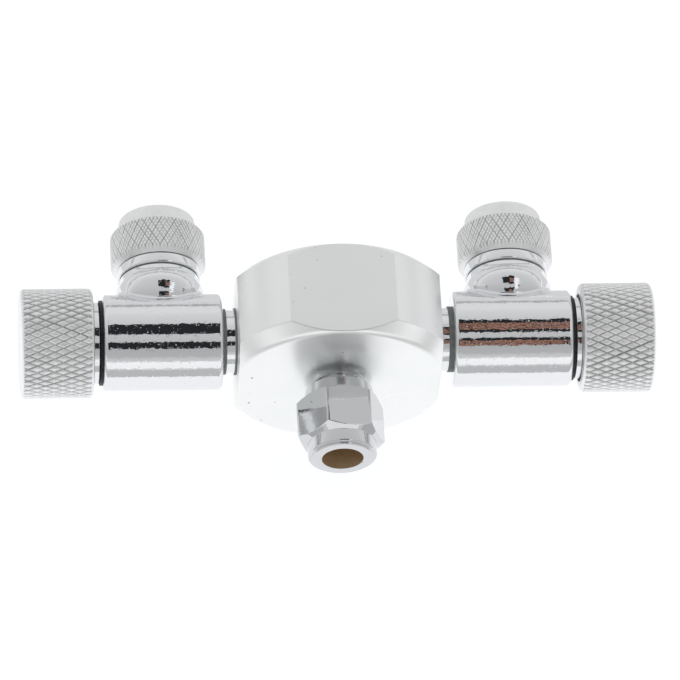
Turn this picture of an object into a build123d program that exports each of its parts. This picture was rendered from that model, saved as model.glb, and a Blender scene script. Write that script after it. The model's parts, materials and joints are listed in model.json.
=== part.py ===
"""Two-way gas splitter for aquarium carbon dioxide.

A round bar with milled flats is the manifold. Gas enters through a compression
fitting on its front, crosses a drilled gallery and leaves through a needle valve
on each side. Each valve has a knurled control knob on the outside end and a
knurled tube fitting that points to the rear.

Millimetres. +X to the right, -Y to the front, +Z up. The origin is the middle of
the flat that the manifold rests on. Every port axis lies at axis_height.
"""

import os
from math import radians, sqrt, tan

from build123d import *

os.makedirs("parts", exist_ok=True)

# Manifold bar
bar_diameter = 37.4
bar_length = 16.0
bar_chamfer = 2.1
bar_edge_round = 1.5
side_flats = 31.6
top_flats = 33.5
gallery_diameter = 3.0

# Tube and threads, as plain cylinders at their major diameter
tube_diameter = 6.0
tube_clearance = 0.05
tube_hole_clearance = 0.25
thread_clearance = 0.05
port_thread = 8.0
port_depth = 6.6
thread_end_gap = 0.4

# Valve body
body_diameter = 15.1
body_length = 18.6
body_round = 0.6
boss_diameter = 12.6
boss_height = 10.65
boss_swell_diameter = 14.2
boss_swell_distance = 7.9
boss_swell_round = 4.8
boss_swell_angle = 45
boss_blend = 0.4
nipple_socket_depth = 5.0
seat_web = 1.85
orifice_diameter = 1.6
chamber_diameter = 5.6
outlet_socket_depth = 5.35

# Nipple and its two seals
neck_diameter = 10.0
neck_length = 1.35
block_seal_diameter = 10.5
block_seal_thickness = 0.25
nipple_seal_diameter = 10.3
nipple_seal_thickness = 0.65

# Bonnet and its seal
bonnet_thread = 10.0
bonnet_shank = 5.5
bonnet_flange_diameter = 12.8
bonnet_flange_length = 1.3
bonnet_seal_diameter = 13.3
bonnet_seal_thickness = 0.45

# Spindle, with a metering needle
spindle_diameter = 4.84
spindle_fit = 0.08
needle_diameter = 2.8
needle_length = 3.4
needle_tip_diameter = 0.5
seat_gap = 0.08
piston_inset = 0.4
groove_inset = 0.9
groove_width = 1.2
oring_section = 0.9
oring_fit = 0.05
knob_shank_diameter = 4.0
knob_shank_length = 6.7

# Control knob
knob_length = 11.4
knob_overlap = 0.3
knob_round = 0.9
knob_wall = 1.65
knob_recess_clearance = 0.5
knob_recess_depth = 2.3
knob_end_thickness = 2.2
grub_diameter = 3.0
grub_inset = 2.3
grub_socket = 1.5
grub_socket_depth = 1.6
grub_position = 7.2

# Tube fittings: outlet
outlet_thread = 10.0
outlet_seal_diameter = 12.2
outlet_seal_thickness = 0.25
outlet_flange_diameter = 13.1
outlet_flange_length = 1.6
outlet_spigot_length = 4.7
outlet_nut_gap = 0.2
outlet_nut_diameter = 14.9
outlet_nut_bevel_length = 0.85
outlet_nut_bevel_depth = 0.95
outlet_nut_knurl_length = 6.1
outlet_nut_tip_diameter = 12.0
outlet_nut_tip_length = 2.9
outlet_nut_round = 0.6
nut_thread_run = 0.4

# Tube fittings: inlet
inlet_thread = 7.9
inlet_shank_diameter = 5.9
inlet_counterbore = 1.6
inlet_port_depth = 6.0
inlet_seal_section = 0.8
inlet_spigot_length = 6.0
inlet_nut_gap = 1.25
inlet_nut_length = 11.8
inlet_nut_flats = 12.0
inlet_collar_diameter = 10.7
inlet_rear_collar = 1.6
inlet_front_collar = 2.9
inlet_nut_round = 0.55
hex_chamfer_angle = 32
hex_turn = -9

# Compression olives, the same in every tube fitting
olive_gap = 0.1
cone_angle = 40
stop_depth = 4.6

# Derived sizes
axis_height = top_flats / 2
front_face = bar_length / 2
side_face = side_flats / 2
tube_socket = tube_diameter / 2 + tube_clearance
tube_hole = tube_diameter / 2 + tube_hole_clearance
neck_start = side_face + block_seal_thickness
neck_end = neck_start + neck_length
body_start = neck_end + nipple_seal_thickness
body_end = body_start + body_length
outlet_axis = body_start + body_length / 2
seat_plane = body_start + nipple_socket_depth + seat_web
flange_start = body_end + bonnet_seal_thickness
flange_end = flange_start + bonnet_flange_length
bonnet_start = flange_start - bonnet_shank
knob_start = flange_end - knob_overlap
knob_end = knob_start + knob_length
hub_start = knob_start + knob_recess_depth
knob_recess_diameter = bonnet_flange_diameter + 2 * knob_recess_clearance
knob_diameter = knob_recess_diameter + 2 * knob_wall
grub_length = (knob_diameter - knob_shank_diameter) / 2 - thread_clearance - grub_inset
spindle_bore = spindle_diameter / 2 + spindle_fit

sides = {"left": -1, "right": 1}


def valve_plane(side):
    """Sketch plane with x outward along a valve and y up from its axis."""
    return Plane(origin=(0, 0, axis_height), x_dir=(side, 0, 0), z_dir=(0, -side, 0))


def outlet_plane(side):
    """Sketch plane with x to the rear along an outlet and y up from its axis."""
    return Plane(origin=(side * outlet_axis, 0, axis_height), x_dir=(0, 1, 0), z_dir=(1, 0, 0))


inlet_plane = Plane(origin=(0, 0, axis_height), x_dir=(0, -1, 0), z_dir=(-1, 0, 0))


def along(plane):
    """Axis that a plane's turned pieces revolve about."""
    return Axis(plane.origin, plane.x_dir)


def across(plane, distance):
    """Plane square to that axis, at a distance along it, facing outward."""
    return Plane(
        origin=plane.from_local_coords(Vector(distance, 0, 0)),
        x_dir=plane.z_dir,
        z_dir=plane.x_dir,
    )


def outline(plane, points):
    """Closed outline of (distance along the axis, radius) points."""
    with BuildSketch(plane) as profile:
        with BuildLine():
            Polyline(points, close=True)
        make_face()
    return profile.sketch


def ring(plane, start, end, inner, outer):
    """Outline of a plain ring."""
    return outline(plane, [(start, inner), (start, outer), (end, outer), (end, inner)])


def spigot_mouth(thread_radius):
    """Radius and depth of the cone that an olive seats in, in a spigot's mouth."""
    mouth_radius = tube_socket + 0.6 * (thread_radius - tube_socket)
    return mouth_radius, (mouth_radius - tube_socket) / tan(radians(cone_angle))


def build_manifold_block():
    """Round bar, chamfered, with two side flats, a top and a bottom flat, and drilled ports."""
    front = Plane(origin=(0, 0, axis_height), x_dir=(1, 0, 0), z_dir=(0, -1, 0))
    with BuildPart() as block:
        with BuildSketch(front):
            Circle(bar_diameter / 2)
        extrude(amount=bar_length / 2, both=True)
        chamfer(block.edges().filter_by(GeomType.CIRCLE), length=bar_chamfer)
        face_edges = block.edges().filter_by(GeomType.CIRCLE).group_by(SortBy.RADIUS)[0]
        fillet(face_edges, radius=bar_edge_round)
        with BuildSketch(front):
            Rectangle(side_flats, top_flats)
        extrude(amount=bar_length / 2, both=True, mode=Mode.INTERSECT)
        with Locations(front.offset(front_face)):
            Hole(gallery_diameter / 2, depth=front_face + gallery_diameter / 2)
            CounterBoreHole(
                radius=inlet_shank_diameter / 2 + thread_clearance,
                counter_bore_radius=inlet_thread / 2 + thread_clearance,
                counter_bore_depth=inlet_counterbore,
                depth=inlet_port_depth,
            )
        for side in sides.values():
            with Locations(across(valve_plane(side), side_face)):
                Hole(port_thread / 2 + thread_clearance, depth=port_depth)
                Hole(gallery_diameter / 2, depth=side_face)
    block.part.label = "manifold_block"
    export_step(block.part, "parts/manifold_block.step")


def boss_outline(plane):
    """Outline of a boss: it swells where it leaves the barrel and narrows to its flat end."""
    swell = boss_swell_diameter / 2
    with BuildSketch(plane) as profile:
        with BuildLine():
            bulge = CenterArc(
                (boss_swell_distance, swell - boss_swell_round), boss_swell_round, 90, boss_swell_angle
            )
            Spline([bulge @ 0, (boss_height, boss_diameter / 2)], tangents=[(1, 0), (1, 0)])
            Polyline([(boss_height, boss_diameter / 2), (boss_height, 0), ((bulge @ 1).X, 0), bulge @ 1])
        make_face()
    return profile.sketch


def build_valve_body(name, side):
    """Plated tee: a turned barrel with a swelling boss, bored for nipple, seat, bonnet and outlet."""
    plane = valve_plane(side)
    boss_plane = outlet_plane(side)
    with BuildPart() as body:
        with BuildSketch(across(plane, body_start)):
            Circle(body_diameter / 2)
        extrude(amount=body_length)
        fillet(body.edges().filter_by(GeomType.CIRCLE), radius=body_round)
        revolve(boss_outline(boss_plane), axis=along(boss_plane))
        curves = body.edges().filter_by(GeomType.CIRCLE, reverse=True).filter_by(GeomType.LINE, reverse=True)
        fillet(curves.filter_by_position(Axis.Y, 0, boss_swell_distance), radius=boss_blend)
        with Locations(across(plane, body_end)):
            Hole(orifice_diameter / 2, depth=body_length)
            Hole(chamber_diameter / 2, depth=body_end - seat_plane)
            Hole(bonnet_thread / 2 + thread_clearance, depth=body_end - bonnet_start + thread_end_gap)
        with Locations(Plane(across(plane, body_start).origin, x_dir=plane.z_dir, z_dir=-plane.x_dir)):
            Hole(port_thread / 2 + thread_clearance, depth=nipple_socket_depth)
        with Locations(across(boss_plane, boss_height)):
            Hole(gallery_diameter / 2, depth=boss_height)
            Hole(port_thread / 2 + thread_clearance, depth=outlet_socket_depth)
    body.part.label = f"valve_body_{name}"
    export_step(body.part, f"parts/valve_body_{name}.step")


def build_nipple(name, side):
    """Threaded nipple that carries a valve on the manifold, with a round neck between its seals."""
    plane = valve_plane(side)
    bore = gallery_diameter / 2
    thread = port_thread / 2
    neck = neck_diameter / 2
    inner_end = side_face - port_depth + thread_end_gap
    outer_end = body_start + nipple_socket_depth - thread_end_gap
    points = [(inner_end, bore), (inner_end, thread), (neck_start, thread), (neck_start, neck)]
    points += [(neck_end, neck), (neck_end, thread), (outer_end, thread), (outer_end, bore)]
    with BuildPart() as nipple:
        revolve(outline(plane, points), axis=along(plane))
    nipple.part.label = f"valve_nipple_{name}"
    export_step(nipple.part, f"parts/valve_nipple_{name}.step")


def build_flat_seal(label, plane, start, thickness, inner, outer):
    """Flat rubber washer."""
    with BuildPart() as seal:
        revolve(ring(plane, start, start + thickness, inner, outer), axis=along(plane))
    seal.part.label = label
    export_step(seal.part, f"parts/{label}.step")


def build_oring(label, plane, centre, ring_radius, section):
    """Round-section rubber ring."""
    with BuildPart() as oring:
        with BuildSketch(plane):
            with Locations((centre, ring_radius)):
                Circle(section / 2)
        revolve(axis=along(plane))
    oring.part.label = label
    export_step(oring.part, f"parts/{label}.step")


def build_bonnet(name, side):
    """Gland that closes the valve body and guides the spindle."""
    plane = valve_plane(side)
    thread = bonnet_thread / 2
    flange = bonnet_flange_diameter / 2
    points = [(bonnet_start, spindle_bore), (bonnet_start, thread), (flange_start, thread)]
    points += [(flange_start, flange), (flange_end, flange), (flange_end, spindle_bore)]
    with BuildPart() as bonnet:
        revolve(outline(plane, points), axis=along(plane))
        rim = bonnet.edges().filter_by(GeomType.CIRCLE).group_by(SortBy.RADIUS)[-1]
        chamfer(rim, length=bonnet_flange_length / 6)
    bonnet.part.label = f"bonnet_{name}"
    export_step(bonnet.part, f"parts/bonnet_{name}.step")


def spindle_stations():
    """Distances along a valve of the spindle's tip, shoulder, piston and o-ring groove."""
    orifice_radius = orifice_diameter / 2
    slope = (needle_diameter - needle_tip_diameter) / 2 / needle_length
    tip = seat_plane - (orifice_radius - seat_gap - needle_tip_diameter / 2) / slope
    piston = bonnet_start + piston_inset
    groove = piston + groove_inset
    return tip, tip + needle_length, piston, groove


def build_spindle(name, side):
    """Brass spindle: metering needle, piston with an o-ring groove, and a shank for the knob."""
    plane = valve_plane(side)
    tip, shoulder, piston, groove = spindle_stations()
    needle = needle_diameter / 2
    stem = spindle_diameter / 2
    shank = knob_shank_diameter / 2
    groove_floor = stem + spindle_fit - oring_section - 2 * oring_fit
    points = [(tip, 0), (tip, needle_tip_diameter / 2), (shoulder, needle), (piston, needle)]
    points += [(piston, stem), (groove, stem), (groove, groove_floor)]
    points += [(groove + groove_width, groove_floor), (groove + groove_width, stem), (hub_start, stem)]
    points += [(hub_start, shank), (hub_start + knob_shank_length, shank), (hub_start + knob_shank_length, 0)]
    with BuildPart() as spindle:
        revolve(outline(plane, points), axis=along(plane))
    spindle.part.label = f"spindle_{name}"
    export_step(spindle.part, f"parts/spindle_{name}.step")


def build_knob(name, side):
    """Knob blank: turned rim, recess that clears the bonnet, blind bore and grub screw hole."""
    plane = valve_plane(side)
    rim = knob_diameter / 2
    recess = knob_recess_diameter / 2
    bore = knob_shank_diameter / 2 + thread_clearance
    floor = knob_end - knob_end_thickness
    points = [(knob_start, recess), (knob_start, rim), (knob_end, rim), (knob_end, 0)]
    points += [(floor, 0), (floor, bore), (hub_start, bore), (hub_start, recess)]
    with BuildPart() as knob:
        revolve(outline(plane, points), axis=along(plane))
        rims = knob.edges().filter_by(GeomType.CIRCLE).group_by(SortBy.RADIUS)[-1]
        fillet(rims, radius=knob_round)
        with BuildSketch(grub_plane(side, 0)):
            Circle(grub_diameter / 2 + thread_clearance)
        extrude(amount=rim, mode=Mode.SUBTRACT)
    knob.part.label = f"knob_{name}"
    export_step(knob.part, f"parts/knob_{name}.step")


def grub_plane(side, radius):
    """Plane under a knob, square to its grub screw and facing down."""
    centre = (side * (knob_start + grub_position), 0, axis_height - radius)
    return Plane(origin=centre, x_dir=(1, 0, 0), z_dir=(0, 0, -1))


def build_grub_screw(name, side):
    """Socket grub screw that grips the spindle's shank."""
    tip = knob_shank_diameter / 2 + thread_clearance
    with BuildPart() as grub:
        with BuildSketch(grub_plane(side, tip)):
            Circle(grub_diameter / 2)
        extrude(amount=grub_length)
        with BuildSketch(grub_plane(side, tip + grub_length)):
            RegularPolygon(grub_socket / 2, 6, major_radius=False)
        extrude(amount=-grub_socket_depth, mode=Mode.SUBTRACT)
    grub.part.label = f"knob_screw_{name}"
    export_step(grub.part, f"parts/knob_screw_{name}.step")


def build_outlet_stem(name, side):
    """Outlet fitting: shank in the boss, round flange, and threaded spigot with a tube socket."""
    plane = outlet_plane(side)
    bore = gallery_diameter / 2
    shank = port_thread / 2
    flange = outlet_flange_diameter / 2
    spigot = outlet_thread / 2
    start, seat, flange_top, end = outlet_stations()
    mouth, mouth_depth = spigot_mouth(spigot)
    points = [(start, bore), (start, shank), (seat, shank), (seat, flange), (flange_top, flange)]
    points += [(flange_top, spigot), (end, spigot), (end, mouth), (end - mouth_depth, tube_socket)]
    points += [(end - stop_depth, tube_socket), (end - stop_depth, bore)]
    with BuildPart() as stem:
        revolve(outline(plane, points), axis=along(plane))
    stem.part.label = f"outlet_stem_{name}"
    export_step(stem.part, f"parts/outlet_stem_{name}.step")


def outlet_stations():
    """Distances to the rear of the stem's start, flange seat, flange top and spigot end."""
    start = boss_height - outlet_socket_depth + thread_end_gap
    seat = boss_height + outlet_seal_thickness
    flange_top = seat + outlet_flange_length
    return start, seat, flange_top, flange_top + outlet_spigot_length


def nut_cone(thread_radius, spigot_end):
    """Start and end, along the axis, of the cone inside a tube nut."""
    start = spigot_end + nut_thread_run
    return start, start + (thread_radius + thread_clearance - tube_hole) / tan(radians(cone_angle))


def build_outlet_nut(name, side):
    """Knurled nut blank with a turned tip, an internal cone and a hole for the tube."""
    plane = outlet_plane(side)
    start, seat, flange_top, spigot_end = outlet_stations()
    thread = outlet_thread / 2
    cone_start, cone_end = nut_cone(thread, spigot_end)
    nut_start = flange_top + outlet_nut_gap
    nut_end = nut_start + outlet_nut_knurl_length + outlet_nut_tip_length
    knurl_end = nut_start + outlet_nut_knurl_length
    rim = outlet_nut_diameter / 2
    tip = outlet_nut_tip_diameter / 2
    points = [(nut_start, thread + thread_clearance), (nut_start, rim - outlet_nut_bevel_depth)]
    points += [(nut_start + outlet_nut_bevel_length, rim), (knurl_end, rim), (knurl_end, tip)]
    points += [(nut_end, tip), (nut_end, tube_hole), (cone_end, tube_hole)]
    points += [(cone_start, thread + thread_clearance)]
    with BuildPart() as nut:
        revolve(outline(plane, points), axis=along(plane))
        far_edges = nut.edges().filter_by(GeomType.CIRCLE).group_by(Axis.Y)[-1]
        fillet(far_edges.sort_by(SortBy.RADIUS)[-1], radius=outlet_nut_round)
    nut.part.label = f"outlet_nut_{name}"
    export_step(nut.part, f"parts/outlet_nut_{name}.step")


def build_olive(label, plane, thread_radius, spigot_end):
    """Brass compression ring with a cone at each end, between a spigot's mouth and its nut."""
    slope = tan(radians(cone_angle))
    mouth, mouth_depth = spigot_mouth(thread_radius)
    cone_start, cone_end = nut_cone(thread_radius, spigot_end)
    inner = tube_socket
    start = spigot_end - mouth_depth + olive_gap
    crest = mouth - olive_gap
    end = cone_end - olive_gap
    nose = tube_hole + olive_gap
    root = inner + olive_gap / 2
    points = [(start, inner), (start, root), (start + (crest - root) / slope, crest)]
    points += [(end - (crest - nose) / slope - olive_gap, crest), (end - olive_gap, nose), (end - olive_gap, inner)]
    with BuildPart() as olive:
        revolve(outline(plane, points), axis=along(plane))
    olive.part.label = label
    export_step(olive.part, f"parts/{label}.step")


def build_inlet_stem():
    """Inlet fitting: shank in the manifold, and threaded spigot with a tube socket."""
    bore = gallery_diameter / 2
    shank = inlet_shank_diameter / 2
    spigot = inlet_thread / 2
    start = front_face - inlet_port_depth + thread_end_gap
    shoulder = front_face - inlet_counterbore + inlet_seal_section
    end = front_face + inlet_spigot_length
    mouth, mouth_depth = spigot_mouth(spigot)
    points = [(start, bore), (start, shank), (shoulder, shank), (shoulder, spigot), (end, spigot)]
    points += [(end, mouth), (end - mouth_depth, tube_socket), (end - stop_depth, tube_socket)]
    points += [(end - stop_depth, bore)]
    with BuildPart() as stem:
        revolve(outline(inlet_plane, points), axis=along(inlet_plane))
    stem.part.label = "inlet_stem"
    export_step(stem.part, "parts/inlet_stem.step")


def build_inlet_nut():
    """Hexagon nut with a turned collar at each end, an internal cone and a hole for the tube."""
    thread = inlet_thread / 2
    nut_start = front_face + inlet_nut_gap
    nut_end = nut_start + inlet_nut_length
    hex_start = nut_start + inlet_rear_collar
    hex_end = nut_end - inlet_front_collar
    collar = inlet_collar_diameter / 2
    corner = inlet_nut_flats / sqrt(3)
    rise = (corner - collar) * tan(radians(hex_chamfer_angle))
    cone_start, cone_end = nut_cone(thread, front_face + inlet_spigot_length)
    envelope = [(nut_start, 0), (nut_start, collar), (hex_start, collar), (hex_start + rise, corner)]
    envelope += [(hex_end - rise, corner), (hex_end, collar), (nut_end, collar), (nut_end, 0)]
    hole = [(nut_start, 0), (nut_start, thread + thread_clearance), (cone_start, thread + thread_clearance)]
    hole += [(cone_end, tube_hole), (nut_end, tube_hole), (nut_end, 0)]
    with BuildPart() as nut:
        with BuildSketch(across(inlet_plane, nut_start)):
            RegularPolygon(inlet_nut_flats / 2, 6, major_radius=False, rotation=hex_turn)
        extrude(amount=inlet_nut_length)
        revolve(outline(inlet_plane, envelope), axis=along(inlet_plane), mode=Mode.INTERSECT)
        far_edges = nut.edges().filter_by(GeomType.CIRCLE).group_by(Axis.Y)[0]
        fillet(far_edges, radius=inlet_nut_round)
        revolve(outline(inlet_plane, hole), axis=along(inlet_plane), mode=Mode.SUBTRACT)
    nut.part.label = "inlet_nut"
    export_step(nut.part, "parts/inlet_nut.step")


def build_inlet():
    """Everything on the front port."""
    build_inlet_stem()
    build_inlet_nut()
    build_olive("inlet_olive", inlet_plane, inlet_thread / 2, front_face + inlet_spigot_length)
    seal_centre = front_face - inlet_counterbore + inlet_seal_section / 2
    seal_radius = inlet_shank_diameter / 2 + thread_clearance + inlet_seal_section / 2
    build_oring("inlet_seal", inlet_plane, seal_centre, seal_radius, inlet_seal_section)


def build_valve(name, side):
    """Everything on one side port."""
    plane = valve_plane(side)
    rear = outlet_plane(side)
    build_valve_body(name, side)
    build_nipple(name, side)
    port_ring = port_thread / 2 + thread_clearance
    build_flat_seal(
        f"port_seal_{name}", plane, side_face, block_seal_thickness, port_ring, block_seal_diameter / 2
    )
    build_flat_seal(
        f"nipple_seal_{name}", plane, neck_end, nipple_seal_thickness, port_ring, nipple_seal_diameter / 2
    )
    build_bonnet(name, side)
    build_flat_seal(
        f"bonnet_seal_{name}",
        plane,
        body_end,
        bonnet_seal_thickness,
        bonnet_thread / 2 + thread_clearance,
        bonnet_seal_diameter / 2,
    )
    groove = spindle_stations()[-1]
    oring_radius = spindle_bore - oring_fit - oring_section / 2
    build_oring(f"spindle_oring_{name}", plane, groove + groove_width / 2, oring_radius, oring_section)
    build_spindle(name, side)
    build_knob(name, side)
    build_grub_screw(name, side)
    build_outlet_stem(name, side)
    build_flat_seal(
        f"outlet_seal_{name}", rear, boss_height, outlet_seal_thickness, port_ring, outlet_seal_diameter / 2
    )
    build_olive(f"outlet_olive_{name}", rear, outlet_thread / 2, outlet_stations()[-1])
    build_outlet_nut(name, side)


build_manifold_block()
build_inlet()
for side_name, side_sign in sides.items():
    build_valve(side_name, side_sign)
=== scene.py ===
"""Looks for the carbon dioxide splitter: plated and turned metal on a white sweep.

Metres, in the frame of the construction model: +X right, -Y front, +Z up, and z = 0
is the flat that the manifold rests on. The knurled knobs, the tube nuts and the
threaded stems are modelled here; every other piece keeps its own solid.
"""

import json
import math
from collections import namedtuple

import bmesh
import bpy
import numpy as np
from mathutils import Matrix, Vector


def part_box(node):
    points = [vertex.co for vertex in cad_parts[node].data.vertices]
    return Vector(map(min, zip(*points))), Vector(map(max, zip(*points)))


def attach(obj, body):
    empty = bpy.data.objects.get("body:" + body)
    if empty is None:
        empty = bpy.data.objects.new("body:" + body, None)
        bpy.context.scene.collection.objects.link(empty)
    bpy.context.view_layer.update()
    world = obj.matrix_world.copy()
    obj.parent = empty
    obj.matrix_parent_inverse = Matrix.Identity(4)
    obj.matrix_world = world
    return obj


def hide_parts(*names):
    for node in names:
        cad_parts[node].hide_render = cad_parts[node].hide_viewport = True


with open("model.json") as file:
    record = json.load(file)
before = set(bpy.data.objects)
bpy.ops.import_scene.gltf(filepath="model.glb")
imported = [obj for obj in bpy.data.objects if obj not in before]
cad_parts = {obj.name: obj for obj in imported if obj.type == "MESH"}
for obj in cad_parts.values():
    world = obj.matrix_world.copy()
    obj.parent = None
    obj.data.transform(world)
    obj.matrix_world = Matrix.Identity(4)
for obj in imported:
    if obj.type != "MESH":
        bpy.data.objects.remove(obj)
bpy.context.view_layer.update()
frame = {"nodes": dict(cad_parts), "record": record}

MM = 0.001
SIDES = {"left": -1, "right": 1}

# The camera, from a fit to the photograph: distance, shift and sensor in millimetres, reach in metres
CAMERA_DISTANCE = 1227.5
CAMERA_ELEVATION = math.radians(60.16)
CAMERA_YAW = math.radians(-9.23)
CAMERA_ROLL = math.radians(7.38)
CAMERA_SHIFT = (-0.61, -0.09)
CAMERA_REACH = (0.01, 10)
FOCAL_PIXELS = 7850
IMAGE_PIXELS = 680
SENSOR = 36

# Sizes repeated from the construction
KNOB_ROUND = 0.9 * MM
KNOB_RECESS_RADIUS = 6.9 * MM
KNOB_RECESS_DEPTH = 2.3 * MM
KNOB_END_THICKNESS = 2.2 * MM
KNOB_SHANK_BORE = 2.05 * MM
GRUB_HOLE_RADIUS = 1.55 * MM
NUT_BEVEL_LENGTH = 0.85 * MM
NUT_BEVEL_DEPTH = 0.95 * MM
NUT_KNURL_LENGTH = 6.1 * MM
NUT_TIP_RADIUS = 6.0 * MM
NUT_ROUND = 0.6 * MM
NUT_THREAD_RADIUS = 5.05 * MM
NUT_THREAD_RUN = 0.4 * MM
NUT_HOLE_LENGTH = 1.955 * MM
TUBE_BORE = 3.25 * MM
TUBE_SOCKET = 3.05 * MM
TUBE_STOP_DEPTH = 4.6 * MM
CONE_SLOPE = math.tan(math.radians(40))
GAS_BORE = 1.5 * MM
THREAD_PITCH = 1.0 * MM
OUTLET_SPIGOT_RADIUS = 5.0 * MM
OUTLET_SHANK_RADIUS = 4.0 * MM
INLET_SPIGOT_RADIUS = 3.95 * MM
INLET_SHANK_RADIUS = 2.95 * MM
INLET_SEAT_TO_END = 6.8 * MM
INLET_NUT_THREAD_RADIUS = 4.0 * MM
HEX_APOTHEM = 6.0 * MM
HEX_CHAMFER = math.radians(32)
HEX_TURN = math.radians(-9)
COLLAR_RADIUS = 5.35 * MM
REAR_COLLAR = 1.6 * MM

# Sizes of the scene's own: small edges and threads, and what was read from the photograph later
OUTLET_SPIGOT_LENGTH = 4.58 * MM
OUTLET_FLANGE_LENGTH = 1.72 * MM
OUTLET_FLANGE_EDGE = 0.25 * MM
INLET_COLLAR_EDGE = 0.1 * MM
FRONT_COLLAR = 2.45 * MM
NOSE_RADIUS = 4.85 * MM
NOSE_LENGTH = 0.3 * MM
NOSE_EDGE = 0.22 * MM
REAR_COLLAR_EDGE = 0.2 * MM
FRONT_COLLAR_EDGE = 0.25 * MM
NUT_EDGE = 0.3 * MM
THREAD_DEPTH = 0.5 * MM
THREAD_PEAK = 1.2
THREAD_FLANK = 2.8
THREAD_RUN_IN = 0.35 * MM
THREAD_RUN_OUT = 0.3 * MM
SOCKET_MOUTH_SHARE = 0.6

# Fineness of the turned meshes
CORNER_STEPS = 6
KNOB_EDGE_STEPS = 8
HEX_CHAMFER_STEPS = 14
HEX_SEGMENTS = 360
THREAD_STEPS = 16
THREAD_SEGMENTS = 96
CUTTER_SEGMENTS = 64
SHARP_ANGLE = math.radians(32)

# Diamond knurls: grooves of each hand round the rim, length of a lozenge, depth and half width of a groove
# (the width in spacings), share of the depth that every second groove has, and mesh steps to a lozenge
KnurlCut = namedtuple("KnurlCut", "starts length depth width second steps")
KNOB_CUT = KnurlCut(starts=47, length=2.67 * MM, depth=0.23 * MM, width=0.25, second=1, steps=12)
NUT_CUT = KnurlCut(starts=78, length=1.04 * MM, depth=0.14 * MM, width=0.32, second=0.75, steps=8)
KNURL_WANDER = 0.04
KNURL_LEAST_BITE = 0.75

# Seals that take the paler rubber, a painted sheen, by the starts of their nodes' names
PAINTED_SHEEN_SEALS = ("port_seal", "nipple_seal", "outlet_seal")


def srgb(red, green, blue):
    """Linear colour of a display colour from 0 to 255."""
    shares = (level / 255 for level in (red, green, blue))
    return tuple(v / 12.92 if v <= 0.04045 else ((v + 0.055) / 1.055) ** 2.4 for v in shares)


# Materials


class Finish:
    """A material under construction: its node tree, its shader and the object coordinates."""

    def __init__(self, name):
        self.material = bpy.data.materials.new(name)
        self.material.use_nodes = True
        self.tree = self.material.node_tree
        self.shader = self.tree.nodes["Principled BSDF"]
        self.place = self.node("ShaderNodeTexCoord").outputs["Object"]

    def node(self, kind, **settings):
        made = self.tree.nodes.new(kind)
        for key, value in settings.items():
            setattr(made, key, value)
        return made

    def link(self, source, target):
        self.tree.links.new(source, target)

    def metal(self, color, roughness):
        """Plain metal; a pattern that is linked later varies round these values."""
        self.shader.inputs["Base Color"].default_value = (*color, 1)
        self.shader.inputs["Metallic"].default_value = 1
        self.shader.inputs["Roughness"].default_value = roughness
        return self

    def scaled(self, factors):
        mapping = self.node("ShaderNodeMapping")
        mapping.inputs["Scale"].default_value = factors
        self.link(self.place, mapping.inputs["Vector"])
        return mapping.outputs["Vector"]

    def noise(self, size, detail, roughness=0.5, place=None):
        """Noise with features of about the given size in metres."""
        made = self.node("ShaderNodeTexNoise")
        made.inputs["Scale"].default_value = 1 / size
        made.inputs["Detail"].default_value = detail
        made.inputs["Roughness"].default_value = roughness
        self.link(place or self.place, made.inputs["Vector"])
        return made.outputs["Fac"]

    def remap(self, value, low, high, to_low, to_high, smooth=False):
        made = self.node("ShaderNodeMapRange", interpolation_type="SMOOTHSTEP" if smooth else "LINEAR")
        for key, number in zip(("From Min", "From Max", "To Min", "To Max"), (low, high, to_low, to_high)):
            made.inputs[key].default_value = number
        self.link(value, made.inputs["Value"])
        return made.outputs["Result"]

    def math(self, operation, first, second):
        made = self.node("ShaderNodeMath", operation=operation)
        for socket, value in zip(made.inputs, (first, second)):
            if isinstance(value, (int, float)):
                socket.default_value = value
            else:
                self.link(value, socket)
        return made.outputs["Value"]

    def mix(self, factor, first, second):
        """Mix of two colours; the node's colour sockets follow those for numbers and vectors."""
        made = self.node("ShaderNodeMix", data_type="RGBA")
        self.link(factor, made.inputs["Factor"])
        for socket, value in ((made.inputs[6], first), (made.inputs[7], second)):
            if isinstance(value, tuple):
                socket.default_value = (*value, 1)
            else:
                self.link(value, socket)
        return made.outputs[2]

    def bump(self, height, depth, under=None):
        """Relief of a height from 0 to 1 that stands for the given depth in metres."""
        made = self.node("ShaderNodeBump")
        made.inputs["Distance"].default_value = depth
        self.link(height, made.inputs["Height"])
        if under is not None:
            self.link(under, made.inputs["Normal"])
        return made.outputs["Normal"]

    def worn_edges(self, radius):
        """Normals that run smoothly over edges, as if these were broken by the given radius."""
        made = self.node("ShaderNodeBevel", samples=8)
        made.inputs["Radius"].default_value = radius
        return made.outputs["Normal"]

    def specks(self, spacing, share, size):
        """Small round specks, 1 in the core and 0 at the rim: that share of the cells holds one."""
        core = 0.35
        cells = self.node("ShaderNodeTexVoronoi")
        cells.inputs["Scale"].default_value = 1 / spacing
        self.link(self.place, cells.inputs["Vector"])
        chance = self.node("ShaderNodeSeparateColor")
        self.link(cells.outputs["Color"], chance.inputs["Color"])
        chosen = self.math("LESS_THAN", chance.outputs["Red"], share)
        reach = self.math("MULTIPLY", chance.outputs["Green"], size / spacing)
        near = self.math("DIVIDE", cells.outputs["Distance"], reach)
        inside = self.remap(near, core, 1.0, 1.0, 0.0, smooth=True)
        return self.math("MULTIPLY", chosen, inside)


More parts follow.
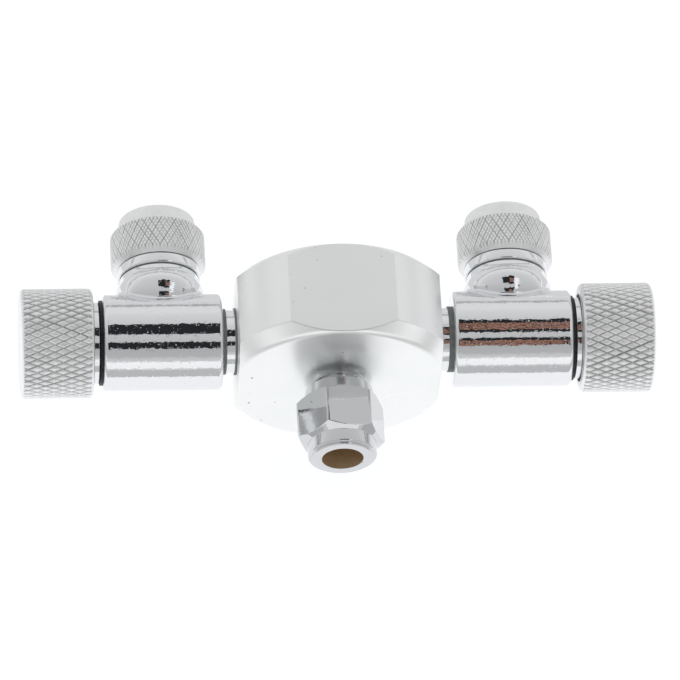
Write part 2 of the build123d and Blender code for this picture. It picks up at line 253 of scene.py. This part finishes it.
def make_chrome(name, shine, grain):
    """Bright plate over brass: nearly a mirror, with slight waves, a ragged grain, raised blots and pits.

    Shine scales the colour, and grain the relief and the frost."""
    bright = tuple(shine * level for level in (0.83, 0.84, 0.85))
    pit_grey = (0.30, 0.31, 0.32)
    chrome = Finish(name).metal(bright, 0.04)
    waves = chrome.bump(chrome.noise(1.8 * MM, 2), 0.026 * grain * MM, under=chrome.worn_edges(0.09 * MM))
    peel = chrome.bump(chrome.noise(0.7 * MM, 2), 0.014 * grain * MM, under=waves)
    blots = chrome.remap(chrome.noise(0.42 * MM, 2, 0.6), 0.60, 0.70, 0.0, 1.0, smooth=True)
    dots = chrome.specks(0.36 * MM, 0.2, 0.2 * MM)
    raised = chrome.math("MAXIMUM", blots, dots)
    pits = chrome.specks(1.5 * MM, 0.2, 0.26 * MM)
    dotted = chrome.bump(raised, 0.004 * grain * MM, under=peel)
    pitted = chrome.bump(chrome.math("SUBTRACT", 1.0, pits), 0.05 * MM, under=dotted)
    chrome.link(pitted, chrome.shader.inputs["Normal"])
    sheen = chrome.remap(chrome.noise(4 * MM, 4), 0.4, 0.7, 0.02, 0.06)
    frost = chrome.math("MULTIPLY", dots, 0.4 * grain)
    chrome.link(chrome.math("ADD", sheen, frost), chrome.shader.inputs["Roughness"])
    shade = chrome.mix(pits, bright, pit_grey)
    chrome.link(shade, chrome.shader.inputs["Base Color"])
    return chrome.material


def make_satin_aluminium():
    """Turned and milled bar, lightly blasted: a soft sheen with a few tiny dark pits."""
    satin = Finish("satin_aluminium").metal((0.94, 0.95, 0.94), 0.3)
    cloud = satin.noise(9 * MM, 4)
    satin.link(satin.remap(cloud, 0.3, 0.7, 0.26, 0.34), satin.shader.inputs["Roughness"])
    lines = satin.noise(0.12 * MM, 2, place=satin.scaled((0.04, 1, 1)))
    fine = satin.bump(lines, 0.0012 * MM, under=satin.worn_edges(0.22 * MM))
    grain = satin.bump(satin.noise(0.09 * MM, 3, 0.6), 0.0016 * MM, under=fine)
    pits = satin.specks(2.0 * MM, 0.32, 0.24 * MM)
    pitted = satin.bump(satin.math("SUBTRACT", 1.0, pits), 0.06 * MM, under=grain)
    satin.link(pitted, satin.shader.inputs["Normal"])
    tone = satin.remap(satin.noise(14 * MM, 3), 0.35, 0.65, 0.0, 1.0)
    clean = satin.mix(tone, (0.93, 0.945, 0.93), (0.95, 0.955, 0.95))
    pit_grey = (0.26, 0.25, 0.24)
    satin.link(satin.mix(pits, clean, pit_grey), satin.shader.inputs["Base Color"])
    return satin.material


def make_knurled_aluminium():
    """Rolled diamond knurl: bright crests in patches of wear, grooves greyed by painted shade that follows
    their depth, and a fine grain.
    """
    knurl = Finish("knurled_aluminium").metal((0.92, 0.92, 0.92), 0.4)
    depth = knurl.node("ShaderNodeAttribute", attribute_name="groove").outputs["Fac"]
    # Painted shade: the base colour greys towards the groove bottoms, broken up by a noise
    shade_breakup = knurl.remap(knurl.noise(0.3 * MM, 4, 0.65), 0.3, 0.7, 0.35, 1.0)
    groove_shade = knurl.math("MULTIPLY", knurl.remap(depth, 0.2, 0.9, 0.0, 1.0, smooth=True), shade_breakup)
    patch = knurl.remap(knurl.noise(0.9 * MM, 4, 0.6), 0.35, 0.65, 0.0, 1.0)
    knurl.link(knurl.remap(patch, 0.0, 1.0, 0.36, 0.48), knurl.shader.inputs["Roughness"])
    worn = knurl.mix(patch, (0.90, 0.905, 0.90), (0.97, 0.97, 0.965))
    groove_shade_grey = (0.24, 0.245, 0.25)
    knurl.link(knurl.mix(groove_shade, worn, groove_shade_grey), knurl.shader.inputs["Base Color"])
    grain = knurl.bump(knurl.noise(0.1 * MM, 3, 0.65), 0.01 * MM)
    dents = knurl.bump(knurl.noise(0.45 * MM, 3), 0.035 * MM, under=grain)
    knurl.link(dents, knurl.shader.inputs["Normal"])
    return knurl.material


def make_brass():
    """Bare turned brass, browned a little, with drag marks from the drill."""
    brass = Finish("bare_brass").metal((0.85, 0.69, 0.50), 0.52)
    tarnish = brass.remap(brass.noise(2.2 * MM, 5, 0.6), 0.35, 0.7, 0.0, 1.0)
    brass.link(brass.mix(tarnish, (0.95, 0.80, 0.60), (0.74, 0.58, 0.40)), brass.shader.inputs["Base Color"])
    brass.link(brass.remap(tarnish, 0.0, 1.0, 0.42, 0.62), brass.shader.inputs["Roughness"])
    streaks = brass.noise(0.5 * MM, 4, place=brass.scaled((1, 0.12, 1)))
    rings = brass.noise(0.1 * MM, 2, place=brass.scaled((0.05, 1, 0.05)))
    marked = brass.bump(rings, 0.006 * MM, under=brass.bump(streaks, 0.06 * MM))
    brass.link(marked, brass.shader.inputs["Normal"])
    return brass.material


def make_rubber(name, clean, dusty):
    """Nitrile rubber with a dusty bloom, from its clean and its dusty colour."""
    rubber = Finish(name)
    rubber.shader.inputs["Roughness"].default_value = 0.45
    rubber.shader.inputs["Specular IOR Level"].default_value = 0.3
    bloom = rubber.remap(rubber.noise(0.8 * MM, 5, 0.6), 0.4, 0.75, 0.0, 1.0)
    rubber.link(rubber.mix(bloom, clean, dusty), rubber.shader.inputs["Base Color"])
    rubber.link(rubber.bump(rubber.noise(0.15 * MM, 3), 0.01 * MM), rubber.shader.inputs["Normal"])
    return rubber.material


def make_dark_steel():
    """Blackened screw steel, rubbed bright at places."""
    steel = Finish("blackened_steel").metal((0.10, 0.10, 0.11), 0.4)
    rubbed = steel.remap(steel.noise(0.6 * MM, 4), 0.5, 0.75, 0.0, 1.0)
    steel.link(steel.mix(rubbed, (0.06, 0.06, 0.065), (0.28, 0.28, 0.29)), steel.shader.inputs["Base Color"])
    steel.link(steel.bump(steel.noise(0.2 * MM, 3), 0.008 * MM), steel.shader.inputs["Normal"])
    return steel.material


materials = {
    "chrome": make_chrome("chrome_plate", shine=1.0, grain=1.0),
    "satin_aluminium": make_satin_aluminium(),
    "knurled_aluminium": make_knurled_aluminium(),
    "brass": make_brass(),
    "black_rubber": make_rubber("black_rubber", (0.010, 0.010, 0.011), (0.035, 0.036, 0.038)),
    "dark_steel": make_dark_steel(),
}
# The inlet's plate is finer and darker, and the seals that lie open get a paler copy of the rubber, a painted
# sheen
fine_chrome = make_chrome("fine_chrome_plate", shine=0.8, grain=0.25)
rubber_painted_sheen = make_rubber("rubber_painted_sheen", (0.20, 0.22, 0.21), (0.30, 0.32, 0.31))

slots = {row["node"]: row["material_slot"] for row in frame["record"]["subparts"]}


def dress_frame():
    """Gives every node of the construction the finish of its slot."""
    for name, piece in frame["nodes"].items():
        piece.data.materials.clear()
        # Seals that lie open take the paler rubber: painted sheen
        piece.data.materials.append(rubber_painted_sheen if name.startswith(PAINTED_SHEEN_SEALS) else materials[slots[name]])


# Turned meshes


def rounded(points):
    """A profile's points with the marked corners rounded: a point is (along, out) or (along, out, radius)."""
    done = []
    for i, point in enumerate(points):
        here = Vector(point[:2])
        if len(point) == 2:
            done.append(tuple(here))
            continue
        size = point[2]
        before = (Vector(points[i - 1][:2]) - here).normalized()
        after = (Vector(points[i + 1][:2]) - here).normalized()
        half = before.angle(after) / 2
        reach = size / math.tan(half)
        centre = here + (before + after).normalized() * size / math.sin(half)
        start = here + before * reach - centre
        end = here + after * reach - centre
        for k in range(CORNER_STEPS + 1):
            done.append(tuple(centre + start.slerp(end, k / CORNER_STEPS) * size))
    return done


def stretch(start, end, steps):
    """Evenly spaced values between two, both included."""
    return np.linspace(start, end, steps + 1)


def split(quad, depth):
    """One quad, or two triangles along the diagonal whose ends are nearer in depth: grooves stay crisp."""
    a, b, c, d = (depth[v] for v in quad)
    if a == b == c == d:
        return [quad]
    p, q, r, s = quad
    if abs(a - c) <= abs(b - d):
        return [(p, q, r), (p, r, s)]
    return [(p, q, s), (q, r, s)]


class Axis:
    """A turning axis: a point on it, its outward direction and the two directions across."""

    def __init__(self, point, outward):
        self.point = np.array(point, float)
        self.outward = np.array(outward, float)
        up = np.array((0, 0, 1.0))
        self.first = up
        self.second = np.cross(self.outward, up)

    def rows(self, along, radii, angles):
        """Points for arrays of distance along the axis (rows) and radius (rows by angles)."""
        across = np.cos(angles)[:, None] * self.first + np.sin(angles)[:, None] * self.second
        return self.point + along[:, None, None] * self.outward + radii[:, :, None] * across[None, :, :]


def lathe(name, axis, profile, segments, groove):
    """Closed turned mesh of a profile, less what a knurl, a thread or a hexagon's flats cut off it.

    Cuts are measured down from the crest radius, so they run out on chamfers and rounded
    edges. The share of full depth at each point is kept in the groove attribute."""
    along = np.array([p[0] for p in profile])
    radius = np.array([p[1] for p in profile])
    angles = np.arange(segments) * 2 * math.pi / segments
    radii = np.repeat(radius[:, None], segments, axis=1)
    share, floor = groove(along[:, None], angles[None, :])
    within = np.zeros(len(radius), bool)
    within[groove.first : groove.last + 1] = True
    cut = within[:, None] & (floor < radii)
    depth = np.where(cut, share, 0).reshape(-1)
    radii = np.where(cut, floor, radii)
    faces = []
    for j in range(len(profile) - 1):
        row, next_row = j * segments, (j + 1) * segments
        for i in range(segments):
            k = (i + 1) % segments
            faces.extend(split((row + i, row + k, next_row + k, next_row + i), depth))
    mesh = bpy.data.meshes.new(name)
    mesh.from_pydata(axis.rows(along, radii, angles).reshape(-1, 3).tolist(), [], faces)
    mesh.attributes.new("groove", "FLOAT", "POINT").data.foreach_set("value", depth.astype(np.float32))
    clean = bmesh.new()
    clean.from_mesh(mesh)
    bmesh.ops.remove_doubles(clean, verts=clean.verts, dist=0.0001 * MM)
    bmesh.ops.recalc_face_normals(clean, faces=clean.faces)
    clean.to_mesh(mesh)
    clean.free()
    return mesh


class Knurl:
    """A diamond knurl: V grooves of both hands between two rows of a profile, a little uneven.

    Every second groove bites by a share only, as where a wheel has tracked twice. The length
    of a lozenge is the cut's, or a little other where the band's mesh rows ask for it."""

    def __init__(self, radius, cut, origin, length, first, last):
        self.radius, self.cut, self.origin, self.length = radius, cut, origin, length
        self.first, self.last = first, last
        chance = np.random.default_rng(cut.starts)
        self.shift = chance.uniform(-KNURL_WANDER, KNURL_WANDER, (2, cut.starts))
        self.bite = chance.uniform(KNURL_LEAST_BITE, 1.0, (2, cut.starts))
        self.bite[:, 1::2] *= cut.second

    def __call__(self, along, angle):
        turn = angle * self.cut.starts / (2 * math.pi)
        run = (along - self.origin) / self.length
        share = np.zeros(np.broadcast(turn, run).shape)
        for hand, line in enumerate((turn + run, turn - run)):
            index = np.rint(line).astype(int) % self.cut.starts
            off = np.abs(line - np.rint(line) - self.shift[hand][index])
            share = np.maximum(share, np.clip(1 - off / self.cut.width, 0, 1) * self.bite[hand][index])
        return share, self.radius - share * self.cut.depth


def knurl_rows(start, end, cut):
    """Number of mesh rows of a knurled band, and the length of its lozenges in whole rows."""
    rows = round((end - start) / (cut.length / cut.steps))
    return rows, (end - start) / rows * cut.steps


class Thread:
    """A right-hand screw thread of V section, flat on crest and root, between two rows of a profile."""

    def __init__(self, radius, first, last):
        self.radius, self.first, self.last = radius, first, last

    def __call__(self, along, angle):
        phase = (along / THREAD_PITCH - angle / (2 * math.pi)) % 1.0
        share = np.clip(THREAD_PEAK - THREAD_FLANK * np.abs(phase - 0.5), 0, 1)
        return share, self.radius - share * THREAD_DEPTH


class Flats:
    """The flats of a hexagon between two rows of a profile, one of them at a turn from the top."""

    def __init__(self, apothem, turn, first, last):
        self.apothem, self.turn, self.first, self.last = apothem, turn, first, last

    def __call__(self, along, angle):
        sector = math.pi / 3
        off = (angle - self.turn + sector / 2) % sector - sector / 2
        floor = np.broadcast_to(self.apothem / np.cos(off), np.broadcast(along, off).shape)
        return np.zeros(floor.shape), floor


def shown(mesh, name, body, slot, replaced):
    """Makes a mesh a piece of the object that stands for a node and rides on its body."""
    mesh.set_sharp_from_angle(angle=SHARP_ANGLE)
    piece = bpy.data.objects.new(name, mesh)
    bpy.context.scene.collection.objects.link(piece)
    mesh.materials.append(materials[slot])
    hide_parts(replaced)
    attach(piece, body)
    return piece


def bored(mesh, name, cutter):
    """The mesh less a cutter object's shape."""
    raw = bpy.data.objects.new(name, mesh)
    bpy.context.scene.collection.objects.link(raw)
    cut = raw.modifiers.new("bore", "BOOLEAN")
    cut.operation = "DIFFERENCE"
    cut.solver = "EXACT"
    cut.object = cutter
    result = bpy.data.meshes.new_from_object(raw.evaluated_get(bpy.context.evaluated_depsgraph_get()))
    bpy.data.objects.remove(raw)
    bpy.data.objects.remove(cutter)
    return result


def rod(top, radius, height):
    """Upright cutter rod with its top at a point."""
    mesh = bpy.data.meshes.new("cutter")
    form = bmesh.new()
    bmesh.ops.create_cone(
        form, cap_ends=True, segments=CUTTER_SEGMENTS, radius1=radius, radius2=radius, depth=height)
    bmesh.ops.translate(form, verts=form.verts, vec=Vector(top) - Vector((0, 0, height / 2)))
    form.to_mesh(mesh)
    form.free()
    made = bpy.data.objects.new("cutter", mesh)
    bpy.context.scene.collection.objects.link(made)
    bpy.context.view_layer.update()
    return made


# Pieces


def make_knob(side_name, sign):
    """Control knob with its diamond knurl, recess, blind bore and grub screw hole."""
    node = f"knob_{side_name}"
    low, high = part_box(node)
    height = (low.z + high.z) / 2
    rim = (high.z - low.z) / 2
    start, end = sorted((abs(low.x), abs(high.x)))
    axis = Axis((0, 0, height), (sign, 0, 0))
    floor = end - KNOB_END_THICKNESS
    hub = start + KNOB_RECESS_DEPTH
    inner = [(floor, 0), (floor, KNOB_SHANK_BORE), (hub, KNOB_SHANK_BORE), (hub, KNOB_RECESS_RADIUS),
             (start, KNOB_RECESS_RADIUS), (start, rim - KNOB_ROUND)]
    arc = stretch(0, math.pi / 2, KNOB_EDGE_STEPS)
    near = [(start + KNOB_ROUND * (1 - math.cos(a)), rim - KNOB_ROUND * (1 - math.sin(a))) for a in arc[1:]]
    far = [(end - KNOB_ROUND * (1 - math.sin(a)), rim - KNOB_ROUND * (1 - math.cos(a))) for a in arc]
    band_start, band_end = start + KNOB_ROUND, end - KNOB_ROUND
    rows, length = knurl_rows(band_start, band_end, KNOB_CUT)
    band = [(x, rim) for x in stretch(band_start, band_end, rows)[1:-1]]
    profile = inner + near + band + far + [(end, 0)]
    last = len(profile) - 2
    knurl = Knurl(rim, KNOB_CUT, band_start, length, len(inner), last)
    mesh = lathe(node, axis, profile, KNOB_CUT.starts * KNOB_CUT.steps, knurl)
    screw_low, screw_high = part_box(f"knob_screw_{side_name}")
    mouth = ((screw_low.x + screw_high.x) / 2, 0, height)
    mesh = bored(mesh, node, rod(mouth, GRUB_HOLE_RADIUS, rim + MM))
    shown(mesh, f"knurled_knob_{side_name}", f"control_knob_{side_name}", "knurled_aluminium", node)


def make_outlet_nut(side_name):
    """Tube nut with its fine diamond knurl, turned tip, inner cone and tube hole."""
    node = f"outlet_nut_{side_name}"
    low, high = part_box(node)
    height = (low.z + high.z) / 2
    rim = (high.z - low.z) / 2
    start, end = low.y, high.y
    axis = Axis(((low.x + high.x) / 2, 0, height), (0, 1, 0))
    cone_end = end - NUT_HOLE_LENGTH
    cone_start = cone_end - (NUT_THREAD_RADIUS - TUBE_BORE) / CONE_SLOPE
    inner = [(end, TUBE_BORE), (cone_end, TUBE_BORE), (cone_start, NUT_THREAD_RADIUS),
             (start, NUT_THREAD_RADIUS)]
    knurl_end = start + NUT_KNURL_LENGTH
    band_start, band_end = start + NUT_BEVEL_LENGTH, knurl_end - NUT_EDGE
    rows, length = knurl_rows(band_start, band_end, NUT_CUT)
    near = [(start, rim - NUT_BEVEL_DEPTH), (band_start, rim)]
    band = [(y, rim) for y in stretch(band_start, band_end, rows)[1:]]
    shoulder = [(knurl_end, rim - NUT_EDGE), (knurl_end, NUT_TIP_RADIUS)]
    tip = rounded([shoulder[-1], (end, NUT_TIP_RADIUS, NUT_ROUND), (end, TUBE_BORE)])[1:]
    profile = inner + near + band + shoulder + tip
    first = len(inner)
    last = first + len(near) + len(band)
    knurl = Knurl(rim, NUT_CUT, band_start, length, first, last)
    mesh = lathe(node, axis, profile, NUT_CUT.starts * NUT_CUT.steps, knurl)
    shown(mesh, f"knurled_nut_{side_name}", f"tube_nut_{side_name}", "knurled_aluminium", node)


def make_inlet_nut():
    """Hexagon tube nut: a turned collar at each end, chamfered flats, a stepped rim and a bare bore."""
    node = "inlet_nut"
    low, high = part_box(node)
    start, end = -high.y, -low.y
    height = (low.z + high.z) / 2
    axis = Axis((0, 0, height), (0, -1, 0))
    cone_start = -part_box("inlet_stem")[0].y + NUT_THREAD_RUN
    cone_end = cone_start + (INLET_NUT_THREAD_RADIUS - TUBE_BORE) / CONE_SLOPE
    inner = [(end, TUBE_BORE), (cone_end, TUBE_BORE), (cone_start, INLET_NUT_THREAD_RADIUS),
             (start, INLET_NUT_THREAD_RADIUS)]
    corner = HEX_APOTHEM / math.cos(math.pi / 6)
    gain = corner - COLLAR_RADIUS
    rise = gain * math.tan(HEX_CHAMFER)
    hex_start, hex_end = start + REAR_COLLAR, end - FRONT_COLLAR
    rim_step = end - NOSE_LENGTH
    rear = rounded([inner[-1], (start, COLLAR_RADIUS, REAR_COLLAR_EDGE), (hex_start, COLLAR_RADIUS)])[1:]
    steps = stretch(0, 1, HEX_CHAMFER_STEPS)
    climb = [(hex_start + rise * t, COLLAR_RADIUS + gain * t) for t in steps[1:]]
    fall = [(hex_end - rise * (1 - t), corner - gain * t) for t in steps]
    nose = rounded([fall[-1], (rim_step, COLLAR_RADIUS, FRONT_COLLAR_EDGE), (rim_step, NOSE_RADIUS),
                    (end, NOSE_RADIUS, NOSE_EDGE), (end, TUBE_BORE)])[1:]
    profile = inner + rear + climb + fall + nose
    first = len(inner) + len(rear) - 1
    flats = Flats(HEX_APOTHEM, HEX_TURN, first, first + len(climb) + len(fall))
    mesh = lathe(node, axis, profile, HEX_SEGMENTS, flats)
    shown(mesh, "hexagon_nut", "inlet_tube_nut", "chrome", node)
    mesh.materials[0] = fine_chrome
    mesh.materials.append(materials["brass"])
    for face in mesh.polygons:
        out = face.center.x * face.normal.x + (face.center.z - height) * face.normal.z
        if out < 0 and math.hypot(face.center.x, face.center.z - height) < INLET_NUT_THREAD_RADIUS:
            face.material_index = 1


def make_stem(node, piece, axis, ends, shank, seat, spigot_start, spigot, edge):
    """Stem of a tube fitting: shank, collar, threaded spigot, and a tube socket with a coned mouth."""
    low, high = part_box(node)
    start, end = ends
    collar = (high.z - low.z) / 2
    root = spigot - THREAD_DEPTH
    mouth = TUBE_SOCKET + SOCKET_MOUTH_SHARE * (spigot - TUBE_SOCKET)
    stop = end - TUBE_STOP_DEPTH
    thread_start, thread_end = spigot_start + THREAD_RUN_IN, end - THREAD_RUN_OUT
    body = rounded([(start, GAS_BORE), (start, shank), (seat, shank), (seat, collar, edge),
                    (spigot_start, collar, edge), (spigot_start, root), (thread_start, root)])
    rows = round((thread_end - thread_start) / (THREAD_PITCH / THREAD_STEPS))
    band = [(y, spigot) for y in stretch(thread_start, thread_end, rows)]
    cone_end = end - (mouth - TUBE_SOCKET) / CONE_SLOPE
    socket = [(end, spigot - THREAD_RUN_OUT), (end, mouth), (cone_end, TUBE_SOCKET),
              (stop, TUBE_SOCKET), (stop, GAS_BORE), (start, GAS_BORE)]
    thread = Thread(spigot, len(body), len(body) + len(band) - 1)
    mesh = lathe(node, axis, body + band + socket, THREAD_SEGMENTS, thread)
    return shown(mesh, piece, "manifold", "chrome", node)


def make_outlet_stem(side_name):
    """Stem that is screwed into a valve's boss, with its flange."""
    node = f"outlet_stem_{side_name}"
    low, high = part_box(node)
    axis = Axis(((low.x + high.x) / 2, 0, (low.z + high.z) / 2), (0, 1, 0))
    spigot_start = high.y - OUTLET_SPIGOT_LENGTH
    make_stem(
        node, f"threaded_stem_{side_name}", axis, (low.y, high.y), OUTLET_SHANK_RADIUS,
        spigot_start - OUTLET_FLANGE_LENGTH, spigot_start, OUTLET_SPIGOT_RADIUS, OUTLET_FLANGE_EDGE)


def make_inlet_stem():
    """Stem that is screwed into the manifold's front, with its collar sunk in the counterbore."""
    low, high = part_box("inlet_stem")
    axis = Axis((0, 0, (low.z + high.z) / 2), (0, -1, 0))
    front_face = -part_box("manifold_block")[0].y
    stem = make_stem(
        "inlet_stem", "threaded_stem_inlet", axis, (-high.y, -low.y), INLET_SHANK_RADIUS,
        -low.y - INLET_SEAT_TO_END, front_face, INLET_SPIGOT_RADIUS, INLET_COLLAR_EDGE)
    stem.data.materials[0] = fine_chrome


# Scene


def place_camera():
    """Camera at the photograph's angle, from the fitted distance, yaw, elevation and roll."""
    low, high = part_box("manifold_block")
    pivot = Vector((0, 0, (low.z + high.z) / 2))
    level = math.cos(CAMERA_ELEVATION)
    back = Vector((math.sin(CAMERA_YAW) * level, -math.cos(CAMERA_YAW) * level, math.sin(CAMERA_ELEVATION)))
    right = Vector((0, 0, 1)).cross(back).normalized()
    up = back.cross(right)
    rolled_right = right * math.cos(CAMERA_ROLL) + up * math.sin(CAMERA_ROLL)
    rolled_up = up * math.cos(CAMERA_ROLL) - right * math.sin(CAMERA_ROLL)
    place = back * CAMERA_DISTANCE - rolled_right * CAMERA_SHIFT[0] - rolled_up * CAMERA_SHIFT[1]
    data = bpy.data.cameras.new("camera")
    data.sensor_width = SENSOR
    data.lens = FOCAL_PIXELS / IMAGE_PIXELS * SENSOR
    data.clip_start, data.clip_end = CAMERA_REACH
    camera = bpy.data.objects.new("camera", data)
    bpy.context.scene.collection.objects.link(camera)
    matrix = camera.matrix_world.copy()
    for row in range(3):
        matrix[row][0] = rolled_right[row]
        matrix[row][1] = rolled_up[row]
        matrix[row][2] = back[row]
        matrix[row][3] = pivot[row] + place[row] * MM
    camera.matrix_world = matrix
    bpy.context.scene.camera = camera


# Light that the metal mirrors, by angle over the object: 0 is the front horizon, 90 overhead, 180 the rear
SKY = [
    (-180, 0.74), (-120, 0.80), (-90, 1.00), (-33, 1.00), (-3, 1.00), (9, 1.05), (12, 1.05),
    (15, 0.66), (22, 0.62), (26, 0.50), (41, 0.48), (64, 0.56), (78, 0.60), (108, 0.66),
    (128, 0.73), (138, 0.80), (155, 0.80), (158, 0.45), (162, 0.45), (165, 0.74), (180, 0.74),
]
SKY_TINT = (1, 1.005, 1.015)

# Cards that stand for what the metal mirrors: their colours, and in metres the height over the axis,
# the drop of the warm strips, the lift of the table off the floor, and half its width
CARD_BLACK = (0.022, 0.023, 0.026)
CARD_BROWN = srgb(158, 118, 102)
CARD_WHITE = (1.0, 1.0, 1.04)
TABLE_NEAR = (0.55, 0.555, 0.56)
TABLE_FAR = (0.74, 0.745, 0.75)
TABLE_REAR = (0.74, 0.745, 0.755)
RIG_HEIGHT = 0.30
STRIP_DROP = 0.002
CARD_LIFT = 0.0004
CARD_REACH = 0.6

# The paper: half its side in metres, the colour that takes shadow, and the glow
FLOOR_REACH = 3
FLOOR_SHADE = (0.36, 0.36, 0.36)
FLOOR_GLOW = (0.813, 0.818, 0.838)


def make_world():
    """White behind the object; for light and reflections, a soft sky that varies with height."""
    world = bpy.data.worlds.new("studio")
    world.use_nodes = True
    bpy.context.scene.world = world
    tree = world.node_tree
    tree.nodes.clear()
    place = tree.nodes.new("ShaderNodeTexCoord")
    parts = tree.nodes.new("ShaderNodeSeparateXYZ")
    tree.links.new(place.outputs["Generated"], parts.inputs["Vector"])
    ahead = tree.nodes.new("ShaderNodeMath")
    ahead.operation = "MULTIPLY"
    ahead.inputs[1].default_value = -1
    tree.links.new(parts.outputs["Y"], ahead.inputs[0])
    angle = tree.nodes.new("ShaderNodeMath")
    angle.operation = "ARCTAN2"
    tree.links.new(parts.outputs["Z"], angle.inputs[0])
    tree.links.new(ahead.outputs["Value"], angle.inputs[1])
    share = tree.nodes.new("ShaderNodeMapRange")
    share.inputs["From Min"].default_value = -math.pi
    share.inputs["From Max"].default_value = math.pi
    tree.links.new(angle.outputs["Value"], share.inputs["Value"])
    ramp = tree.nodes.new("ShaderNodeValToRGB")
    tree.links.new(share.outputs["Result"], ramp.inputs["Fac"])
    bands = ramp.color_ramp.elements
    for i, (degrees, level) in enumerate(SKY):
        position = (degrees + 180) / 360
        band = bands[i] if i < len(bands) else bands.new(position)
        band.position = position
        band.color = (*(level * tint for tint in SKY_TINT), 1)
    sky = tree.nodes.new("ShaderNodeBackground")
    tree.links.new(ramp.outputs["Color"], sky.inputs["Color"])
    white = tree.nodes.new("ShaderNodeBackground")
    path = tree.nodes.new("ShaderNodeLightPath")
    either = tree.nodes.new("ShaderNodeMixShader")
    out = tree.nodes.new("ShaderNodeOutputWorld")
    white.inputs["Color"].default_value = (1, 1, 1, 1)
    tree.links.new(path.outputs["Is Camera Ray"], either.inputs["Fac"])
    tree.links.new(sky.outputs["Background"], either.inputs[1])
    tree.links.new(white.outputs["Background"], either.inputs[2])
    tree.links.new(either.outputs["Shader"], out.inputs["Surface"])


def flat_card(name, xs, ys, height, color):
    """Plain glowing card, level and unseen by the camera, between two x and two y at a height."""
    mesh = bpy.data.meshes.new(name)
    outline = [(xs[0], ys[0], height), (xs[1], ys[0], height), (xs[1], ys[1], height), (xs[0], ys[1], height)]
    mesh.from_pydata(outline, [], [(0, 1, 2, 3)])
    card = bpy.data.objects.new(name, mesh)
    bpy.context.scene.collection.objects.link(card)
    material = bpy.data.materials.new(name)
    material.use_nodes = True
    tree = material.node_tree
    tree.nodes.clear()
    glow = tree.nodes.new("ShaderNodeEmission")
    glow.inputs["Color"].default_value = (*color, 1)
    out = tree.nodes.new("ShaderNodeOutputMaterial")
    tree.links.new(glow.outputs["Emission"], out.inputs["Surface"])
    mesh.materials.append(material)
    card.visible_camera = False
    card.visible_diffuse = False
    card.visible_shadow = False


def place_cards():
    """What the plated metal mirrors: dark studio gear overhead with warm strips on its right half,
    a white window beside it, and the grey table beyond the paper in front and behind."""
    low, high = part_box("manifold_block")
    axis_height = (low.z + high.z) / 2

    def over(name, degrees, xs, color, drop=0.0):
        """Card over the object between two angles from the front horizon."""
        ys = sorted(-(RIG_HEIGHT - drop) / math.tan(math.radians(d)) for d in degrees)
        flat_card(name, xs, ys, axis_height + RIG_HEIGHT - drop, color)

    over("card_rig_left", (80, 105), (-0.055, 0.022), CARD_BLACK)
    over("card_rig_right", (76, 107), (0.022, 0.095), CARD_BLACK)
    over("card_lens_left", (46, 62), (-0.05, 0.028), CARD_BLACK)
    over("card_lens_right", (45, 63), (0.028, 0.10), CARD_BLACK)
    over("card_window", (58, 100), (0.105, 0.17), CARD_WHITE)
    for name, first, width, spacing, count, x_start in (
        ("card_rig_warm", 83, 3, 4.2, 4, 0.040),
        ("card_lens_warm", 46, 2.7, 3.8, 3, 0.042),
    ):
        for i in range(count):
            near = first + spacing * i
            over(f"{name}_{i}", (near, near + width), (x_start, 0.085), CARD_BROWN, drop=STRIP_DROP)
    for name, ys, color in (
        ("card_table", (-0.149, -0.040), TABLE_NEAR),
        ("card_table_far", (-0.293, -0.149), TABLE_FAR),
        ("card_rear", (0.030, 0.9), TABLE_REAR),
    ):
        flat_card(name, (-CARD_REACH, CARD_REACH), ys, CARD_LIFT, color)


def make_floor():
    """Large paper floor: white to the camera and in the metal, with the object's soft shadow."""
    size = FLOOR_REACH
    mesh = bpy.data.meshes.new("floor")
    outline = [(-size, -size, 0), (size, -size, 0), (size, size, 0), (-size, size, 0)]
    mesh.from_pydata(outline, [], [(0, 1, 2, 3)])
    floor = bpy.data.objects.new("floor", mesh)
    bpy.context.scene.collection.objects.link(floor)
    material = bpy.data.materials.new("floor")
    material.use_nodes = True
    tree = material.node_tree
    tree.nodes.clear()
    shaded = tree.nodes.new("ShaderNodeBsdfDiffuse")
    shaded.inputs["Color"].default_value = (*FLOOR_SHADE, 1)
    glow = tree.nodes.new("ShaderNodeEmission")
    glow.inputs["Color"].default_value = (*FLOOR_GLOW, 1)
    both = tree.nodes.new("ShaderNodeAddShader")
    tree.links.new(shaded.outputs["BSDF"], both.inputs[0])
    tree.links.new(glow.outputs["Emission"], both.inputs[1])
    paper = tree.nodes.new("ShaderNodeBsdfDiffuse")
    seen = tree.nodes.new("ShaderNodeMixShader")
    tree.links.new(seen_ray(tree), seen.inputs["Fac"])
    tree.links.new(paper.outputs["BSDF"], seen.inputs[1])
    tree.links.new(both.outputs["Shader"], seen.inputs[2])
    out = tree.nodes.new("ShaderNodeOutputMaterial")
    tree.links.new(seen.outputs["Shader"], out.inputs["Surface"])
    mesh.materials.append(material)


def seen_ray(tree):
    """1 for rays from the camera and for those that metal or glass sends on."""
    path = tree.nodes.new("ShaderNodeLightPath")
    value = path.outputs["Is Camera Ray"]
    for name in ("Is Glossy Ray", "Is Transmission Ray"):
        larger = tree.nodes.new("ShaderNodeMath")
        larger.operation = "MAXIMUM"
        tree.links.new(value, larger.inputs[0])
        tree.links.new(path.outputs[name], larger.inputs[1])
        value = larger.outputs["Value"]
    return value


dress_frame()
for side_name, side_sign in SIDES.items():
    make_knob(side_name, side_sign)
    make_outlet_nut(side_name)
    make_outlet_stem(side_name)
make_inlet_nut()
make_inlet_stem()
place_camera()
make_world()
make_floor()
place_cards()
bpy.context.scene.view_settings.view_transform = "Standard"
